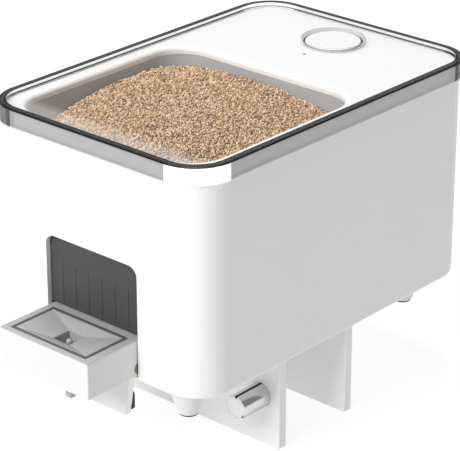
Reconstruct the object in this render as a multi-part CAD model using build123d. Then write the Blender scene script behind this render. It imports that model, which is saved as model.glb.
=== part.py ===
"""Aquarium feeder: a hopper on a clamp base, with a motor-driven metering drawer.

Millimetres, +Z up, +Y to the back. The origin is where the tank's rim seats: on the underside of the
base, midway between the two clamp jaws. Each piece is one solid (or one group of like solids) in its own
STEP file. The drawer is drawn out and the clamp screws are backed off.
"""

from build123d import *
import math
import os

# ---- driving dimensions -------------------------------------------------------------------------
body_width = 78.0
body_length = 116.3
shoulder_height = 61.0  # underside to the ledge that the lid's skirt covers
clamp_setback = 48.8  # front wall to the middle of the clamp gap
wall = 1.5
corner_r = 11.0
foot_edge_r = 1.0  # rounding round the bottom of the casing

lid_overhang = 1.0
lid_plate = 1.2
lid_skirt = 5.0  # whole height of the lid
lid_wall = 1.3
lid_edge_r = 0.5
lid_gap = 0.3  # lid to deck, and skirt to casing
lid_seat = 0.3  # ledge to the bottom of the skirt

deck_thick = 2.0
deck_lip = 2.0
rebate_depth = 0.6
seal_height = 0.25

opening_half = 33.5
opening_front = 4.5  # casing's front face to the hopper's opening
opening_length = 66.5
opening_r = 10.0
opening_lip_r = 1.2
hopper_wall = 1.2
hopper_knee_drop = 22.0  # deck top to the knee where the floor of the hopper starts
hopper_knee_inset = 2.6
outlet_width = 24.0
outlet_length = 12.0
outlet_r = 1.5
outlet_flange = 1.4
outlet_gap = 0.3  # outlet flange to the gasket under it

window_half = 16.9
window_sill = 1.3
window_top = 33.3
window_r = 3.0

drawer_half = 16.6
drawer_bottom = 1.6
drawer_top = 12.3
drawer_out = 18.5  # how far the drawer's front stands out of the casing
drawer_travel = 19.5
drawer_depth = 31.3
drawer_wall = 1.5
drawer_corner_r = 0.4
gasket_width = 28.2
gasket_length = 15.9
gasket_band = 0.9
gasket_proud = 0.15
gasket_depth = 0.7
gasket_setback = 1.85  # drawer's front to the gasket
funnel_drop = 1.5
meter_hole = 6.0
meter_wall = 0.8
spout_top = 5.0
spout_tip = 3.6
spout_wall = 0.55
spout_bottom = -3.2
valve_foot = 2.1  # side of the square foot that closes the spout
valve_foot_bottom = -6.9
valve_foot_top = -3.6
stem_r = 0.9
valve_lift = 1.2
cross_pin_r = 0.5
cross_pin_half = 6.2

rack_module = 0.8
pinion_teeth = 12
rack_half = 4.0
rack_pitch_z = 6.2
rack_base_z = 3.2
pinion_setback = 9.0  # middle of the clamp gap forward to the pinion
pinion_half = 3.2
tail_end = -7.0  # rear end of the rack with the drawer out
shaft_r = 1.5
running_fit = 0.05

motor_width = 12.0
motor_height = 10.0
gearbox_length = 9.0
motor_length = 15.0
motor_x = 4.6

base_thick = 2.5
base_gap = 0.2
bay_floor = 1.3
rail_gap = 0.3
rail_width = 2.4

jaw_thick = 3.2
jaw_gap = 25.2
jaw_drop = 26.9
jaw_half = 38.0
jaw_edge_r = 0.5
jaw_corner_r = 0.6
grip_half = 14.0

thumbscrew_r = 3.5
thumbscrew_out = 10.4  # how far each thumbscrew stands in front of the jaw
thumbscrew_x = 31.3
thumbscrew_z = -11.8
thumbscrew_cap_r = 2.9
pad_reach = 3.0  # front jaw's rear face to the face of the pressure pad, screwed back
pad_r = 3.3
pad_thick = 2.2
pad_neck_r = 1.4
insert_r = 4.6
insert_length = 2.0

foot_top_r = 5.1
foot_tip_r = 2.7
foot_height = 7.1
foot_front = (29.5, -42.8)
foot_rear = (29.5, 49.4)
foot_peg_r = 2.0

tab_thick = 2.1
tab_top_half = 13.6
tab_bottom_half = 11.7
tab_drop = 11.9
tab_flange = 7.0
tab_flange_thick = 1.5

button_y = 51.5
button_r = 8.1
button_gap = 0.2
button_below_lid = 0.7
button_travel = 0.6
lid_hole_r = 9.2
light_ahead = 12.85  # button's centre forward to the status light
light_r = 0.5

board_thick = 1.6
board_top = 57.0
board_half = 24.0
board_length = 34.0
board_behind_button = 12.0  # button's centre to the board's rear edge

battery_width = 30.0
battery_length = 32.0
battery_height = 7.0
battery_front = 20.5

curtain_thick = 0.8
curtain_slits = 6
curtain_pitch = 4.9
slit_width = 0.12
slit_top_drop = 8.0

socket_width = 9.0
socket_height = 3.3
socket_z = 14.0

# ---- places worked out from them -----------------------------------------------------------------
front_y = -clamp_setback
rear_y = front_y + body_length
mid_y = (front_y + rear_y) / 2
half_width = body_width / 2
lid_top = shoulder_height + lid_seat + lid_skirt
deck_top = lid_top - lid_plate - lid_gap
drawer_front = front_y - drawer_out
drawer_rear = drawer_front + drawer_depth
opening_y0 = front_y + opening_front
opening_y1 = opening_y0 + opening_length
gasket_y0 = drawer_front + gasket_setback
meter_y = gasket_y0 + gasket_length / 2
outlet_y = meter_y + drawer_travel
outlet_bottom = drawer_top + gasket_proud + outlet_gap
pinion_y = -pinion_setback
pitch_r = rack_module * pinion_teeth / 2
pinion_z = rack_pitch_z + pitch_r
jaw_front_y = -jaw_gap / 2 - jaw_thick
jaw_rear_y = jaw_gap / 2
parts = {}


# ---- shapes that several pieces use --------------------------------------------------------------
def slab(x0, x1, y0, y1, z0, z1):
    """A box from its two corners."""
    middle = Pos((x0 + x1) / 2, (y0 + y1) / 2, (z0 + z1) / 2)
    return middle * Box(x1 - x0, y1 - y0, z1 - z0)


def plate_face(half_x, y0, y1, z, radius):
    """A rounded rectangle lying level at height z."""
    return Pos(0, (y0 + y1) / 2, z) * RectangleRounded(2 * half_x, y1 - y0, radius)


def rounded(half_x, y0, y1, z0, z1, radius):
    """An upright block with rounded corners."""
    return extrude(plate_face(half_x, y0, y1, z0, radius), z1 - z0)


def rod(x, y, z0, z1, radius):
    """An upright rod."""
    return Pos(x, y, (z0 + z1) / 2) * Cylinder(radius, z1 - z0)


def rod_x(x0, x1, y, z, radius):
    """A rod along X."""
    return Pos((x0 + x1) / 2, y, z) * Rot(0, 90, 0) * Cylinder(radius, x1 - x0)


def rod_y(x, y0, y1, z, radius):
    """A rod along Y."""
    return Pos(x, (y0 + y1) / 2, z) * Rot(90, 0, 0) * Cylinder(radius, y1 - y0)


def both(shape):
    """The shape and its mirror image across the middle plane."""
    return [shape, mirror(shape, about=Plane.YZ)]


def pan_screw(x, y, seat, length, radius, head_r, head, up=1):
    """A pan-head screw seated at height seat. up is 1 with the head above, -1 with the head below."""
    shank = rod(x, y, *sorted((seat, seat - up * length)), radius)
    cap = rod(x, y, *sorted((seat, seat + up * head)), head_r)
    top = cap.edges().filter_by(GeomType.CIRCLE).sort_by(Axis.Z)[-1 if up > 0 else 0]
    cap = fillet(top, head * 0.45)
    slot = slab(x - head_r, x + head_r, y - 0.25, y + 0.25, *sorted((seat + up * head * 0.6, seat + up * head)))
    return (shank + cap) - slot


# ---- casing --------------------------------------------------------------------------------------
def casing():
    """Open-topped and open-bottomed wall of the body, with the window for the drawer."""
    top = deck_top - deck_thick
    outer = rounded(half_width, front_y, rear_y, 0, top, corner_r)
    outer = fillet(outer.faces().sort_by(Axis.Z)[0].edges(), foot_edge_r)
    inner = rounded(half_width - wall, front_y + wall, rear_y - wall, -1, top + 1, corner_r - wall)
    shell = outer - inner
    rim = rounded(half_width + 1, front_y - 1, rear_y + 1, shoulder_height, top + 1, corner_r)
    keep = rounded(
        half_width - rebate_depth,
        front_y + rebate_depth,
        rear_y - rebate_depth,
        shoulder_height - 1,
        top + 2,
        corner_r - rebate_depth,
    )
    shell -= rim - keep
    window_height = window_top - window_sill
    window = extrude(
        Plane.XZ * Pos(0, window_sill + window_height / 2) * RectangleRounded(2 * window_half, window_height, window_r),
        amount=wall * 3,
        both=True,
    )
    sill = slab(-window_half, window_half, -wall * 3, wall * 3, window_sill, window_sill + window_r + 1)
    shell -= Pos(0, front_y, 0) * (window + sill)
    shell -= slab(-spout_path, spout_path, front_y - 1, front_y + wall + 1, -1, window_sill + 1)
    shell -= socket_hole()
    for x, y in boss_places:
        shell += boss(x, y)
    return shell


spout_path = spout_top / 2 + 0.5
boss_r = 3.2
boss_hole_r = 1.05
boss_x = half_width - wall - boss_r + 0.6
boss_places = [(s * boss_x, y) for s in (-1, 1) for y in (front_y + 17.5, rear_y - 34.0)]
boss_height = 14.0


def boss(x, y):
    """A screw boss on the inside of a side wall."""
    z0 = base_thick + base_gap
    post = rod(x, y, z0, z0 + boss_height, boss_r)
    return post - rod(x, y, z0 - 1, z0 + boss_height - 2, boss_hole_r)


def socket_hole(gap=0.25):
    """The charging socket's mouth through the rear wall."""
    mouth = RectangleRounded(socket_width + 2 * gap, socket_height + 2 * gap, socket_height / 2)
    return extrude(Plane.XZ.offset(-rear_y) * Pos(0, socket_z) * mouth, amount=wall * 2, both=True)


parts["casing"] = casing()


# ---- base plate ----------------------------------------------------------------------------------
def base_plate():
    """Bottom cover inside the casing. Its thin front bay is the floor that the drawer runs over."""
    inset = wall + base_gap
    plate = rounded(half_width - inset, front_y + inset, rear_y - inset, 0, base_thick, corner_r - inset)
    bay_half = window_half + rail_gap
    plate -= slab(-bay_half, bay_half, front_y, bay_rear, bay_floor, base_thick + 1)
    plate -= slab(-spout_path, spout_path, front_y, outlet_y + spout_path + 0.4, -1, base_thick)
    for x, y in boss_places:
        plate -= rod(x, y, -1, base_thick + 1, 1.3)
        plate -= rod(x, y, -1, 1.1, 2.4)
    for x, y in foot_places:
        plate -= rod(x, y, -1, base_thick + 1, foot_peg_r + running_fit)
    for x, y in jaw_screw_places:
        plate -= rod(x, y, -1, base_thick + 1, 1.1)
    for x in (-tab_screw_x, tab_screw_x):
        plate -= rod(x, tab_screw_y, -1, bay_floor + 1, 0.9)
    plate -= rod(bracket_x, bracket_y, -1, base_thick + 1, 1.05)
    for side in both(slab(rack_half + 0.3, rack_half + 1.3, bay_rear + 1, rack_guide_end, base_thick, 5.0)):
        plate += side
    for side in both(ramp()):
        plate += side
    return plate


def ramp():
    """A slope that lifts the valve's cross pin as the drawer comes home."""
    x0 = meter_hole / 2 + meter_wall + 0.4
    x1 = cross_pin_half
    y_home = outlet_y + 0.1
    pin_under = valve_pin_z - cross_pin_r
    start = y_home - 7.5
    low = pin_under + valve_lift * (1 - 7.5 / drawer_travel) - 0.15
    high = pin_under + valve_lift - 0.1
    profile = Polyline((start, bay_floor), (start + 1.2, low), (y_home, high), (y_home, bay_floor), close=True)
    return extrude(Plane.YZ.offset(x0) * make_face(profile), amount=x1 - x0)


bay_rear = drawer_rear + drawer_travel + 1.5
rack_guide_end = tail_end + drawer_travel + 1.0
valve_pin_z = drawer_bottom + 1.4
foot_places = [(s * x, y) for x, y in (foot_front, foot_rear) for s in (-1, 1)]
jaw_screw_xs = (-30.0, -22.0, 22.0, 30.0)
jaw_screw_ys = (jaw_front_y + jaw_thick / 2, jaw_rear_y + jaw_thick / 2)
jaw_screw_places = [(x, y) for y in jaw_screw_ys for x in jaw_screw_xs]
bracket_x = motor_x + gearbox_length / 2
bracket_y = pinion_y + motor_width / 2 + 3.9
tab_screw_x = 9.0
tab_screw_y = front_y + tab_thick + tab_flange * 0.6
parts["base_plate"] = base_plate()
parts["base_screws"] = [pan_screw(x, y, 1.1, 9.0, 1.0, 2.0, 0.9, up=-1) for x, y in boss_places]


# ---- deck and hopper -----------------------------------------------------------------------------
def deck():
    """White top panel with the hopper's opening, the button hole and the status light hole."""
    edge = rebate_depth
    under = deck_top - deck_thick
    panel = rounded(half_width - edge, front_y + edge, rear_y - edge, under, deck_top, corner_r - edge)
    panel = fillet(panel.faces().sort_by(Axis.Z)[-1].edges(), 0.6)
    lip_out = wall + base_gap
    lip = rounded(half_width - lip_out, front_y + lip_out, rear_y - lip_out, under - deck_lip, under, corner_r - lip_out)
    lip_in = lip_out + 1.0
    lip -= rounded(half_width - lip_in, front_y + lip_in, rear_y - lip_in, under - 9, under + 9, corner_r - lip_in)
    panel += lip
    panel -= rounded(opening_half, opening_y0, opening_y1, under - 9, deck_top + 1, opening_r)
    mouth = panel.faces().sort_by(Axis.Z)[-1].inner_wires()[0].edges()
    panel = fillet(mouth, opening_lip_r)
    panel -= rod(0, button_y, under - 1, deck_top + 1, button_r + button_gap)
    panel -= rod(0, button_y - light_ahead, under - 1, deck_top + 1, light_r + running_fit)
    for x, y in board_posts:
        panel += rod(x, y, board_top, under + 0.1, 2.2) - rod(x, y, board_top - 1, board_top + 4, 0.85)
    return panel


board_y0 = button_y + board_behind_button - board_length
board_posts = [(s * (board_half - 3.0), y) for s in (-1, 1) for y in (board_y0 + 3, board_y0 + board_length - 3)]
parts["top_deck"] = deck()


def basin(grow, z_top, z_low):
    """The hopper's inside (grow 0) or outside (grow = its wall): steep sides, then a slope to the outlet."""
    knee_z = deck_top - hopper_knee_drop
    inset = hopper_knee_inset
    top = plate_face(opening_half + grow, opening_y0 - grow, opening_y1 + grow, z_top, opening_r + grow)
    knee = plate_face(
        opening_half - inset + grow, opening_y0 - grow, opening_y1 - inset + grow, knee_z, opening_r - 1 + grow
    )
    half = outlet_width / 2
    y0 = outlet_y - outlet_length / 2
    throat_z = outlet_bottom + outlet_flange + 1.0
    throat = plate_face(half + grow, y0 - grow, y0 + outlet_length + grow, throat_z, outlet_r + grow)
    neck = extrude(throat, z_low - throat_z)
    return loft([top, knee], ruled=True) + loft([knee, throat], ruled=True) + neck


def hopper():
    """Grey basin under the deck, with a flange against the deck and a flat flange round its outlet."""
    under = deck_top - deck_thick
    shell = basin(hopper_wall, under, outlet_bottom)
    rim = rounded(opening_half + 2.6, opening_y0 - 1.6, opening_y1 + 2.6, under - 1.2, under, opening_r + 2)
    half = gasket_width / 2
    foot_y0 = outlet_y - outlet_length / 2 - 2.1
    foot = rounded(half, foot_y0, outlet_y + gasket_length / 2, outlet_bottom, outlet_bottom + outlet_flange, 1.0)
    return shell + rim + foot - basin(0, under + 0.01, outlet_bottom - 1)


parts["hopper_basin"] = hopper()


# ---- lid -----------------------------------------------------------------------------------------
def lid():
    """Clear cover with a skirt, and a round hole for the button."""
    out = lid_overhang
    cover = rounded(
        half_width + out, front_y - out, rear_y + out, lid_top - lid_skirt, lid_top, corner_r + out
    )
    cover = fillet(cover.faces().sort_by(Axis.Z)[-1].edges(), lid_edge_r)
    gap = out - lid_wall
    hollow = rounded(
        half_width + gap, front_y - gap, rear_y + gap, lid_top - lid_skirt - 1, lid_top - lid_plate, corner_r + gap
    )
    return cover - hollow - rod(0, button_y, lid_top - 9, lid_top + 1, lid_hole_r)


parts["lid"] = lid()
seal_ring = rounded(half_width - 0.05, front_y + 0.05, rear_y - 0.05, shoulder_height, shoulder_height + seal_height, corner_r)
seal_ring -= rounded(
    half_width - rebate_depth,
    front_y + rebate_depth,
    rear_y - rebate_depth,
    shoulder_height - 1,
    shoulder_height + 1,
    corner_r - rebate_depth,
)
parts["lid_seal"] = seal_ring

# ---- button, status light and control board ------------------------------------------------------
button_top = lid_top - button_below_lid
button_cap = rod(0, button_y, button_top - 3.2, button_top, button_r)
button_cap = fillet(button_cap.edges().filter_by(GeomType.CIRCLE).sort_by(Axis.Z)[-1], 0.35)
button_cap -= rod(0, button_y, button_top - 4, button_top - 1.4, button_r - 1.2)
stem_foot = board_top + 2.3 + button_travel
parts["button"] = button_cap + rod(0, button_y, stem_foot, button_top - 1.4, 1.8)
bezel = rod(0, button_y, deck_top, deck_top + 0.5, lid_hole_r - lid_gap)
parts["button_bezel"] = bezel - rod(0, button_y, deck_top - 1, deck_top + 2, button_r + button_gap)
dome = Pos(0, button_y, board_top + 2.2) * Cone(2.4, 1.4, button_travel, align=(Align.CENTER, Align.CENTER, Align.MIN))
parts["button_dome"] = dome
switch = slab(-3, 3, button_y - 3, button_y + 3, board_top, board_top + 1.8)
parts["button_switch"] = switch + rod(0, button_y, board_top + 1.8, board_top + 2.2, 1.7)
light_y = button_y - light_ahead
light_pipe = rod(0, light_y, board_top + 1.0, deck_top, light_r)
parts["status_light"] = light_pipe + rod(0, light_y, board_top + 1.0, deck_top - deck_thick - 0.2, 1.1)
board = slab(-board_half, board_half, board_y0, board_y0 + board_length, board_top - board_thick, board_top)
for x, y in board_posts:
    board -= rod(x, y, board_top - 5, board_top + 1, 1.1)
parts["circuit_board"] = board
parts["board_screws"] = [
    pan_screw(x, y, board_top - board_thick, 4.6, 0.8, 1.7, 1.0, up=-1) for x, y in board_posts
]
chip = slab(9, 16, button_y - 12, button_y - 5, board_top, board_top + 1.0)
lamp = slab(-1.2, 1.2, light_y - 1.2, light_y + 1.2, board_top, board_top + 0.8)
header = slab(-18, -8, board_y0 + 4, board_y0 + 8, board_top - board_thick - 4.0, board_top - board_thick)
parts["board_components"] = [chip, lamp, header]

# ---- battery and charging socket -----------------------------------------------------------------
pad_height = 0.6
battery_rear = battery_front + battery_length
cell_z = base_thick + pad_height
cell = rounded(battery_width / 2, battery_front, battery_rear, cell_z, cell_z + battery_height, 2.0)
cell = fillet(cell.edges().group_by(Axis.Z)[-1] + cell.edges().group_by(Axis.Z)[0], 1.2)
parts["battery_cell"] = cell
pad_half = battery_width / 2 - 3
parts["battery_pad"] = slab(-pad_half, pad_half, battery_front + 4, battery_rear - 4, base_thick, cell_z)
socket_shell = extrude(
    Plane.XZ.offset(-(rear_y - 0.3)) * Pos(0, socket_z) * RectangleRounded(socket_width, socket_height, socket_height / 2 - 0.01),
    amount=7.3,
)
socket_mouth = extrude(
    Plane.XZ.offset(-(rear_y - 0.3)) * Pos(0, socket_z) * RectangleRounded(socket_width - 0.7, socket_height - 0.7, 1.29),
    amount=5.5,
)
tongue = slab(-3.3, 3.3, rear_y - 6.2, rear_y - 1.2, socket_z - 0.35, socket_z + 0.35)
parts["charge_socket"] = (socket_shell - socket_mouth) + tongue
socket_board_z = socket_z - socket_height / 2
small_board = slab(-8, 8, rear_y - 14, rear_y - wall - 0.3, socket_board_z - 1.2, socket_board_z)
parts["socket_board"] = small_board
post = slab(-7, 7, rear_y - 13.5, rear_y - wall - 0.6, base_thick, socket_board_z - 1.2)
parts["socket_stand"] = post - slab(-4.5, 4.5, rear_y - 20, rear_y, base_thick + 2, socket_board_z - 3.2)


# ---- curtain in the window -----------------------------------------------------------------------
def curtain():
    """Soft wiper behind the window, cut into fingers that brush the top of the drawer."""
    y0 = front_y + wall + 0.1
    low = drawer_top + gasket_proud + outlet_gap
    sheet = slab(-window_half - 1.2, window_half + 1.2, y0, y0 + curtain_thick, low, window_top + 4.5)
    for i in range(curtain_slits):
        x = (i - (curtain_slits - 1) / 2) * curtain_pitch
        sheet -= slab(x - slit_width / 2, x + slit_width / 2, y0 - 1, y0 + 2, low - 1, window_top - slit_top_drop)
    for x in curtain_screw_x:
        sheet -= rod_y(x, y0 - 1, y0 + 2, window_top + 2.4, 0.8)
    return sheet


curtain_screw_x = (-12.0, 0.0, 12.0)
parts["wiper_curtain"] = curtain()
strip_y = front_y + wall + 0.1 + curtain_thick
strip = slab(-window_half, window_half, strip_y, strip_y + 0.5, window_top + 0.9, window_top + 3.9)
for x in curtain_screw_x:
    strip -= rod_y(x, strip_y - 1, strip_y + 1, window_top + 2.4, 0.8)
parts["curtain_strip"] = strip
parts["curtain_rivets"] = [
    rod_y(x, front_y + wall, strip_y + 0.5, window_top + 2.4, 0.75)
    + rod_y(x, strip_y + 0.5, strip_y + 0.8, window_top + 2.4, 1.3)
    for x in curtain_screw_x
]


# ---- drawer --------------------------------------------------------------------------------------
def drawer():
    """Hollow tray, open below, with a seat for the funnel in its top."""
    box = slab(-drawer_half, drawer_half, drawer_front, drawer_rear, drawer_bottom, drawer_top)
    box = fillet(box.edges(), drawer_corner_r)
    w = drawer_wall
    box -= slab(
        -drawer_half + w, drawer_half - w, drawer_front + w, drawer_rear - w, drawer_bottom - 1, drawer_top - w
    )
    half = gasket_width / 2
    box -= slab(-half, half, gasket_y0, gasket_y0 + gasket_length, drawer_top - gasket_depth, drawer_top + 1)
    inner = half - gasket_band - 1.0
    y0 = gasket_y0 + gasket_band + 1.0
    y1 = gasket_y0 + gasket_length - gasket_band - 1.0
    box -= slab(-inner, inner, y0, y1, drawer_top - 3, drawer_top + 1)
    for x in (-drawer_half, drawer_half):
        box -= rod_x(x - 2, x + 2, detent_y, detent_z, sleeve_r + 0.02)
    tail = slab(-rack_half + 1, rack_half - 1, drawer_rear - 0.1, tail_end, rack_base_z, rack_base_z + 0.8)
    return box + tail


sleeve_r = 1.6
detent_y = front_y + 0.4
detent_z = 3.9
parts["drawer"] = drawer()
half = gasket_width / 2
ring = slab(-half, half, gasket_y0, gasket_y0 + gasket_length, drawer_top - gasket_depth, drawer_top + gasket_proud)
ring = fillet(ring.edges().filter_by(Axis.Z), 0.5)
ring -= slab(
    -half + gasket_band,
    half - gasket_band,
    gasket_y0 + gasket_band,
    gasket_y0 + gasket_length - gasket_band,
    drawer_top - 5,
    drawer_top + 5,
)
parts["drawer_gasket"] = ring


def funnel():
    """Shallow four-sided funnel in the drawer's top, with the square metering pocket under it."""
    half_x = gasket_width / 2 - gasket_band
    y0 = gasket_y0 + gasket_band
    y1 = gasket_y0 + gasket_length - gasket_band
    seat = drawer_top - gasket_depth
    insert = slab(-half_x, half_x, y0, y1, seat, drawer_top)
    inner = half_x - 1.05
    insert += slab(-inner, inner, y0 + 1.05, y1 - 1.05, seat - 1.6, seat)
    outer_hole = meter_hole / 2 + meter_wall
    pocket_foot = drawer_bottom + 0.3
    insert += slab(-outer_hole, outer_hole, meter_y - outer_hole, meter_y + outer_hole, pocket_foot, seat)
    rim = plate_face(half_x - 0.5, y0 + 0.5, y1 - 0.5, drawer_top, 0.2)
    mouth = plate_face(meter_hole / 2, meter_y - meter_hole / 2, meter_y + meter_hole / 2, drawer_top - funnel_drop, 0.1)
    insert -= loft([rim, mouth], ruled=True)
    reach = meter_hole / 2
    insert -= slab(-reach, reach, meter_y - reach, meter_y + reach, pocket_floor, drawer_top)
    insert -= slab(-spout_bore / 2, spout_bore / 2, meter_y - spout_bore / 2, meter_y + spout_bore / 2, 0, pocket_floor)
    slot_low = valve_pin_z - cross_pin_r - 0.2
    slot_high = valve_pin_z + valve_lift + cross_pin_r + 0.2
    for side in both(slab(reach - 2.2, outer_hole + 1, meter_y - 0.8, meter_y + 0.8, slot_low, slot_high)):
        insert -= side
    return insert


spout_bore = 3.6
pocket_floor = valve_pin_z + valve_lift + cross_pin_r + 1.0
parts["funnel_insert"] = funnel()


def spout():
    """Tapered square nozzle under the metering pocket."""
    top_z = drawer_bottom + 0.3
    body = loft(
        [Pos(0, meter_y, top_z) * Rectangle(spout_top, spout_top), Pos(0, meter_y, spout_bottom) * Rectangle(spout_tip, spout_tip)],
        ruled=True,
    )
    wide = spout_top - 2 * spout_wall
    tip = spout_tip - 2 * spout_wall
    bore = loft(
        [Pos(0, meter_y, top_z) * Rectangle(wide, wide), Pos(0, meter_y, spout_bottom) * Rectangle(tip, tip)],
        ruled=True,
    )
    return body - bore


parts["drop_spout"] = spout()

# ---- valve in the metering pocket ----------------------------------------------------------------
stem_top = drawer_top - funnel_drop - 0.3
stem = rod(0, meter_y, valve_foot_top - 0.5, stem_top, stem_r)
stem = fillet(stem.edges().filter_by(GeomType.CIRCLE).sort_by(Axis.Z)[-1], stem_r * 0.9)
foot_half = valve_foot / 2
plug = slab(-foot_half, foot_half, meter_y - foot_half, meter_y + foot_half, valve_foot_bottom, valve_foot_top)
plug = fillet(plug.edges().group_by(Axis.Z)[0], 0.3)
cross_pin = rod_x(-cross_pin_half + 0.2, cross_pin_half - 0.2, meter_y, valve_pin_z, cross_pin_r)
parts["valve_stem"] = stem + plug + cross_pin

# ---- side detents --------------------------------------------------------------------------------
sleeves = []
plungers = []
for s in (-1, 1):
    face = s * drawer_half
    x0, x1 = sorted((face - s * 1.4, face))
    sleeves.append(rod_x(x0, x1, detent_y, detent_z, sleeve_r) - rod_x(x0 - 1, x1 + 1, detent_y, detent_z, 1.0))
    x0, x1 = sorted((face - s * 1.3, face + s * 0.12))
    plungers.append(rod_x(x0, x1, detent_y, detent_z, 0.97))
parts["detent_sleeves"] = sleeves
parts["detent_plungers"] = plungers


# ---- rack, pinion and gear motor -----------------------------------------------------------------
def involute_point(base_r, radius):
    """Polar angle of an involute from base_r, at this radius."""
    t = math.sqrt(max((radius / base_r) ** 2 - 1, 0))
    return t - math.atan(t)


def pinion_outline():
    """Spur gear outline, with a little backlash, a tooth pointing straight down at the rack."""
    pressure = math.radians(20)
    base_r = pitch_r * math.cos(pressure)
    tip_r = pitch_r + rack_module * 0.95
    root_r = pitch_r - rack_module * 1.2
    half_tooth = math.pi / 2 / pinion_teeth * 0.86
    half_at_pitch = half_tooth + involute_point(base_r, pitch_r)
    points = []
    for k in range(pinion_teeth):
        middle = -math.pi / 2 + 2 * math.pi * k / pinion_teeth
        radii = [base_r, (base_r + pitch_r) / 2, pitch_r, (pitch_r + tip_r) / 2, tip_r]
        right = [(r, middle - half_at_pitch + involute_point(base_r, r)) for r in radii]
        left = [(r, 2 * middle - a) for r, a in reversed(right)]
        foot = half_at_pitch * 1.08
        points += [(root_r, middle - foot)] + right + left + [(root_r, middle + foot)]
    return [(r * math.cos(a), r * math.sin(a)) for r, a in points]


pinion_blank = make_face(Polyline(*pinion_outline(), close=True))
pinion = extrude(Plane.YZ.offset(-pinion_half) * pinion_blank, amount=2 * pinion_half)
pinion = Pos(0, pinion_y, pinion_z) * pinion
bush_x = -pinion_half - 3.2
shaft = rod_x(bush_x - 2.0, motor_x + 0.0, pinion_y, pinion_z, shaft_r)
parts["drive_pinion"] = pinion - rod_x(-9, 9, pinion_y, pinion_z, shaft_r)
parts["motor_shaft"] = shaft


def rack():
    """Toothed bar on the drawer's tail, with a gap centred under the pinion's lowest tooth."""
    pitch = math.pi * rack_module
    y_front = drawer_rear
    root_z = rack_pitch_z - rack_module * 1.15
    tip_z = rack_pitch_z + rack_module * 0.95
    bar = slab(-rack_half + 0.5, rack_half - 0.5, y_front, tail_end, rack_base_z + 0.8, root_z)
    slope = math.tan(math.radians(20))
    count = int((tail_end - y_front) / pitch) + 2
    first = math.ceil((y_front + 0.8 - pinion_y) / pitch - 0.5)
    for k in range(first, first + count):
        y = pinion_y + (k + 0.5) * pitch
        if y + pitch / 2 > tail_end:
            break
        half_mid = pitch / 4 * 0.9
        low = half_mid + slope * (rack_pitch_z - root_z)
        high = half_mid - slope * (tip_z - rack_pitch_z)
        tooth = Polyline((y - low, root_z - 0.2), (y - high, tip_z), (y + high, tip_z), (y + low, root_z - 0.2), close=True)
        bar += extrude(Plane.YZ.offset(-rack_half + 0.5) * make_face(tooth), amount=2 * rack_half - 1)
    return bar


parts["drawer_rack"] = rack()


def gear_motor():
    """Small gear motor lying along X: a square gearbox, then a can with two flats."""
    x0 = motor_x
    x1 = x0 + gearbox_length
    y0, y1 = pinion_y - motor_width / 2, pinion_y + motor_width / 2
    z0, z1 = pinion_z - motor_height / 2, pinion_z + motor_height / 2
    box = slab(x0, x1, y0, y1, z0, z1)
    box = fillet(box.edges().filter_by(Axis.X), 0.8)
    can = rod_x(x1, x1 + motor_length, pinion_y, pinion_z, motor_width / 2)
    can &= slab(x1, x1 + motor_length, y0, y1, z0, z1)
    hub = rod_x(x1 + motor_length, x1 + motor_length + 1.0, pinion_y, pinion_z, 2.2)
    return box + can + hub - rod_x(x0 - 1, x0 + 3, pinion_y, pinion_z, shaft_r + 0.3)


parts["gear_motor"] = gear_motor()


def motor_bracket():
    """Cradle under the motor and a strap over its gearbox, on two feet."""
    x0, x1 = motor_x + 1.0, motor_x + gearbox_length - 1.0
    y0, y1 = pinion_y - motor_width / 2, pinion_y + motor_width / 2
    z0, z1 = pinion_z - motor_height / 2, pinion_z + motor_height / 2
    gap = 0.05
    outer = slab(x0, x1, y0 - 1.2, y1 + 1.2, base_thick, z1 + 1.2)
    outer -= slab(x0 - 1, x1 + 1, y0 - gap, y1 + gap, z0 - gap, z1 + gap)
    outer -= slab(x0 - 1, x1 + 1, y0 + 2.0, y1 - 2.0, base_thick - 1, z0 - 1.2)
    foot = slab(x0, x1, y1 + 1.2, y1 + 6.2, base_thick, base_thick + 1.2)
    foot -= rod(bracket_x, bracket_y, base_thick - 1, base_thick + 3, 1.05)
    return outer + foot


parts["motor_bracket"] = motor_bracket()
parts["bracket_screw"] = pan_screw(bracket_x, bracket_y, base_thick + 1.2, 2.0, 1.0, 1.8, 1.1)
post_x1 = bush_x + 0.4
post = slab(post_x1 - 2.6, post_x1, pinion_y - 4.5, pinion_y + 4.5, base_thick, pinion_z + 4.0)
post -= rod_x(post_x1 - 4, post_x1 + 1, pinion_y, pinion_z, 2.4)
parts["bearing_post"] = post
bush = rod_x(post_x1 - 2.6, post_x1, pinion_y, pinion_z, 2.38)
parts["bearing_bush"] = bush - rod_x(post_x1 - 4, post_x1 + 1, pinion_y, pinion_z, shaft_r + running_fit)

# ---- drawer rails and position switches ----------------------------------------------------------
rail_x = window_half + rail_gap
rail = slab(rail_x, rail_x + rail_width, front_y + wall + 2.2, bay_rear, base_thick, drawer_top)
rail += slab(rail_x - 0.2, rail_x, front_y + wall + 2.2, bay_rear, base_thick + 1.0, base_thick + 2.4)
rail += slab(rail_x + rail_width, rail_x + rail_width + 5, bay_rear - 12, bay_rear - 4, base_thick, base_thick + 1.5)
parts["rail_right"] = rail
parts["rail_left"] = mirror(rail, about=Plane.YZ)
home_y = tail_end + drawer_travel + 0.3
home_switch = slab(-3, 3, home_y + 1.0, home_y + 6.5, base_thick, base_thick + 5.0)
home_switch += rod_y(0, home_y, home_y + 1.0, rack_base_z + 1.2, 0.7)
out_y = pinion_y + 10.0
out_switch = slab(-rack_half - 9.0, -rack_half - 3.5, out_y - 4, out_y + 4, base_thick, base_thick + 5.0)
out_switch += rod_x(-rack_half - 3.5, -rack_half - 1.6, out_y, rack_base_z + 1.2, 0.7)
switches = [home_switch, out_switch]
parts["position_switches"] = switches


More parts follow.
